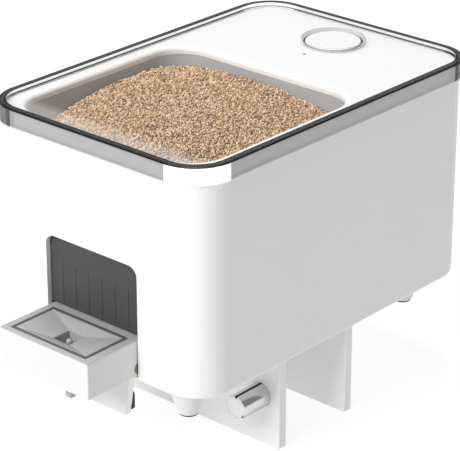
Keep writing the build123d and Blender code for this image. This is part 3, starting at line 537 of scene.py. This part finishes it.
# Painted glow: the skirt and the highlighted corners emit light.
skirt_painted_glow = lay_over(lid_tree, on_skirt, (0.0, 0.0, 0.0), (0.2, 0.2, 0.2))
skirt_painted_glow = lay_over(lid_tree, corner_highlight, skirt_painted_glow, (0.6, 0.6, 0.6))
skirt_painted_glow = lay_over(lid_tree, corner_shade, skirt_painted_glow, (0.02, 0.02, 0.02))
skirt_painted_glow = lay_over(lid_tree, on_edge, skirt_painted_glow, (0.0, 0.0, 0.0))
lid_tree.links.new(skirt_painted_glow, lid_shader.inputs["Emission Color"])
lid_shader.inputs["Emission Strength"].default_value = 1.0
sheen = lay_over(lid_tree, corner_shade, 0.5, 0.1)
sheen = lay_over(lid_tree, on_edge, sheen, 0.15)
lid_tree.links.new(sheen, lid_shader.inputs["Specular IOR Level"])
dress(clear_lid, "lid")

# ---- lid seal ----
# A thin dark silicone ring lies on the ledge under the skirt.
# Matt and slightly dusty, it shows as a dark line below the lid.
seal_silicone = moulded("seal_silicone", (0.07, 0.07, 0.07), 0.7, 0.15, 1200.0, 0.2)
dress(seal_silicone, "lid_seal")

# ---- feed button ----
# A white satin cap sits in a raised ring on the deck and stands up through the lid's hole.
# The ring's inner step is painted dark as a painted shadow of the gap round the cap. A silicone dome
# springs the cap back from a board switch.
bezel_step = 0.00865
button_white = moulded("button_white_abs", (0.84, 0.84, 0.84), 0.3, 0.02, 1600.0, 0.05)
bezel_white = moulded("bezel_white_abs", (0.8, 0.8, 0.8), 0.35, 0.03, 1600.0, 0.05)
bezel_tree = bezel_white.node_tree
# Painted shadow: a dark line on the ring's inner step.
shadow_line = ease(bezel_tree, button_distance(bezel_tree), bezel_step + 0.0001, bezel_step)
recolor(bezel_white, shadow_line, (0.06, 0.06, 0.06))
dome_silicone = moulded("dome_silicone", (0.5, 0.5, 0.48), 0.55, 0.1, 2000.0, 0.1)
switch_black = moulded("switch_black", (0.03, 0.03, 0.03), 0.45, 0.2, 1500.0, 0.1)
dress(button_white, "button")
dress(bezel_white, "button_bezel")
dress(dome_silicone, "button_dome")
dress(switch_black, "button_switch")

# ---- status light ----
# A thin acrylic rod carries the board's lamp up to the deck.
# Unlit, it is a small grey dot.
light_pipe = moulded("light_pipe_acrylic", (0.16, 0.165, 0.17), 0.15, 0.05, 2500.0, 0.03)
dress(light_pipe, "status_light")

# ---- circuit board ----
# Green fibreglass boards carry the control chip, the lamp, the plug header and the charging socket.
# Copper tracks show as lighter lines under the solder mask.
mask_green = moulded("solder_mask", (0.02, 0.16, 0.07), 0.28, 0.1, 1500.0, 0.05)
board_tree = mask_green.node_tree
place = board_tree.nodes.new("ShaderNodeTexCoord")
tracks = board_tree.nodes.new("ShaderNodeTexBrick")
tracks.inputs["Scale"].default_value = 260.0
tracks.inputs["Mortar Size"].default_value = 0.03
tracks.inputs["Color1"].default_value = (0.015, 0.13, 0.055, 1)
tracks.inputs["Color2"].default_value = (0.02, 0.17, 0.07, 1)
tracks.inputs["Mortar"].default_value = (0.06, 0.32, 0.14, 1)
board_tree.links.new(place.outputs["Object"], tracks.inputs["Vector"])
board_tree.links.new(tracks.outputs["Color"], board_tree.nodes["Principled BSDF"].inputs["Base Color"])
dress(mask_green, "circuit_board", "socket_board")
dress(moulded("chip_epoxy", (0.02, 0.02, 0.022), 0.5, 0.2, 2500.0, 0.2), "board_components")

# ---- battery ----
# A flat lithium cell in blue shrink film lies on a foam pad between the drawer's run and the socket.
# The film is wrinkled where it was drawn tight.
cell_film = moulded("cell_film", (0.05, 0.16, 0.42), 0.25, 0.25, 260.0, 0.35)
pad_foam = moulded("pad_foam", (0.12, 0.12, 0.12), 0.95, 0.3, 3000.0, 0.6)
dress(cell_film, "battery_cell")
dress(pad_foam, "battery_pad")

# ---- charging socket ----
# A folded steel shell stands in the rear wall, soldered to a small board on a moulded stand.
socket_steel = metal("socket_steel", (0.58, 0.58, 0.57), 0.28, (300.0, 2500.0, 2500.0))
inner_black = moulded("inner_black_abs", (0.035, 0.035, 0.035), 0.5, 0.15, 1000.0, 0.15)
dress(socket_steel, "charge_socket")
dress(inner_black, "socket_stand")

# ---- wiper curtain ----
# A soft grey silicone sheet hangs behind the window, cut into fingers that brush the drawer.
# A steel strip and three rivets hold its top edge to the wall.
curtain_grey = moulded("curtain_silicone", (0.056, 0.056, 0.056), 0.62, 0.18, 500.0, 0.25)
dress(curtain_grey, "wiper_curtain")
strip_steel = metal("strip_steel", (0.6, 0.6, 0.58), 0.32, (300.0, 2500.0, 2500.0))
dress(strip_steel, "curtain_strip", "curtain_rivets")


# ---- drawer ----
# The drawer is a light grey satin moulding, open below, that carries the funnel and the rack.
# Its top is painted darker than its front, as painted shade under the casing's front.
drawer_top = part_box("drawer")[1][2]
drawer_grey = moulded("drawer_grey_abs", (0.7, 0.7, 0.7), 0.4, 0.04, 1100.0, 0.1)
drawer_tree = drawer_grey.node_tree
# Painted shade: the top face of the drawer is darker.
top_painted_shade = ease(drawer_tree, place_xyz(drawer_tree)["Z"], drawer_top - 0.0004, drawer_top - 0.0001)
recolor(drawer_grey, top_painted_shade, (0.42, 0.42, 0.42))
dress(drawer_grey, "drawer")

# ---- drawer gasket ----
# A grey silicone cord is pressed into a groove round the funnel and seals it against the hopper.
dress(moulded("gasket_silicone", (0.1, 0.1, 0.1), 0.6, 0.15, 1500.0, 0.2), "drawer_gasket")

# ---- funnel, spout and valve ----
# The funnel and its square pocket are one matt grey insert with a short spout below.
# The valve hangs in the pocket: its square foot shuts the spout when the drawer is home.
funnel_grey = moulded("funnel_grey_pp", (0.41, 0.41, 0.41), 0.55, 0.05, 900.0, 0.12)
dress(funnel_grey, "funnel_insert", "drop_spout")
dress(moulded("valve_grey_pom", (0.42, 0.42, 0.42), 0.4, 0.05, 1800.0, 0.08), "valve_stem")

# ---- side detents ----
# A sprung steel plunger in a brass sleeve on each side clicks the drawer at its ends.
brass = metal("turned_brass", (0.4, 0.27, 0.13), 0.25, (300.0, 2500.0, 2500.0))
plunger_steel = metal("plunger_steel", (0.3, 0.28, 0.26), 0.25, (300.0, 2500.0, 2500.0))
dress(brass, "detent_sleeves", "thread_inserts", "bearing_bush")
dress(plunger_steel, "detent_plungers")

# ---- rack and pinion ----
# The rack and the pinion are natural nylon, pale cream and slightly waxy.
# The pinion is pressed on a steel shaft that turns in a brass bush.
natural_nylon = moulded("natural_nylon", (0.78, 0.74, 0.62), 0.4, 0.08, 1200.0, 0.1)
dress(natural_nylon, "drive_pinion", "drawer_rack")
dress(metal("shaft_steel", (0.55, 0.55, 0.54), 0.18, (300.0, 2500.0, 2500.0)), "motor_shaft")

# ---- gear motor ----
# A plated steel gear motor lies across the feeder in a black cradle, held by one screw.
# The bearing post at the shaft's other end is the same black plastic.
dress(metal("motor_can", (0.52, 0.52, 0.5), 0.3, (300.0, 2500.0, 2500.0)), "gear_motor")
dress(inner_black, "motor_bracket", "bearing_post")

# ---- rails and position switches ----
# Two black rails guide the drawer's sides, and two lever switches feel the ends of its travel.
dress(inner_black, "rail_left", "rail_right")
dress(switch_black, "position_switches")

# ---- clamp jaws ----
# Two flat white plates hang from the base, each screwed up along its top edge.
# The rear one carries a thin rubber pad, so that it grips glass without marking it.
jaw_white = moulded("jaw_white_abs", (0.86, 0.86, 0.86), 0.3, 0.03, 800.0, 0.08)
dress(jaw_white, "front_jaw", "rear_jaw")
grip_rubber = moulded("grip_rubber", (0.04, 0.04, 0.04), 0.75, 0.2, 900.0, 0.35)
dress(grip_rubber, "rear_jaw_pad", "pressure_pad_left", "pressure_pad_right", "foot_tips", "tab_cushion")

# ---- thumbscrews ----
# Each thumbscrew is a chromed barrel that runs in a brass insert in the front jaw.
# A pale matt disc closes its nose, and two dark lines along the barrel are painted reflections, set by the
# angle round the barrel.
screw_low, screw_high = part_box("thumbscrew_right")
barrel_x = (screw_low[0] + screw_high[0]) / 2
barrel_z = (screw_low[2] + screw_high[2]) / 2
barrel_chrome = metal("barrel_chrome", (0.68, 0.68, 0.69), 0.14, (2500.0, 200.0, 2500.0))
chrome_tree = barrel_chrome.node_tree
place = place_xyz(chrome_tree)
sideways = step(chrome_tree, "SUBTRACT", step(chrome_tree, "ABSOLUTE", place["X"]), barrel_x)
upward = step(chrome_tree, "SUBTRACT", place["Z"], barrel_z)
around = step(chrome_tree, "ARCTAN2", sideways, upward)
# Painted reflections: two dark stripes along the chrome barrel.
near_reflection_stripe = step(
    chrome_tree, "MULTIPLY",
    ease(chrome_tree, around, math.radians(-6), math.radians(-2)),
    ease(chrome_tree, around, math.radians(12), math.radians(8)),
)
far_reflection_stripe = step(
    chrome_tree, "MULTIPLY",
    ease(chrome_tree, around, math.radians(120), math.radians(124)),
    ease(chrome_tree, around, math.radians(134), math.radians(130)),
)
painted_reflection_stripes = step(chrome_tree, "MAXIMUM", near_reflection_stripe, far_reflection_stripe)
recolor(barrel_chrome, painted_reflection_stripes, (0.01, 0.01, 0.01))
dress(barrel_chrome, "thumbscrew_left", "thumbscrew_right")
nose_disc = moulded("nose_disc", (0.95, 0.95, 0.95), 0.45, 0.04, 1500.0, 0.1)
dress(nose_disc, "thumbscrew_cap_left", "thumbscrew_cap_right")

# ---- feet and locating tab ----
# Four tapered feet and the tab under the front are pegged or screwed to the base plate.
# The tab is the same white ABS as the jaws, and the feet are a slightly duller one.
foot_white = moulded("foot_white_abs", (0.68, 0.68, 0.68), 0.4, 0.05, 1000.0, 0.08)
dress(jaw_white, "locating_tab")
dress(foot_white, "foot_front_left", "foot_front_right", "foot_rear_left", "foot_rear_right")
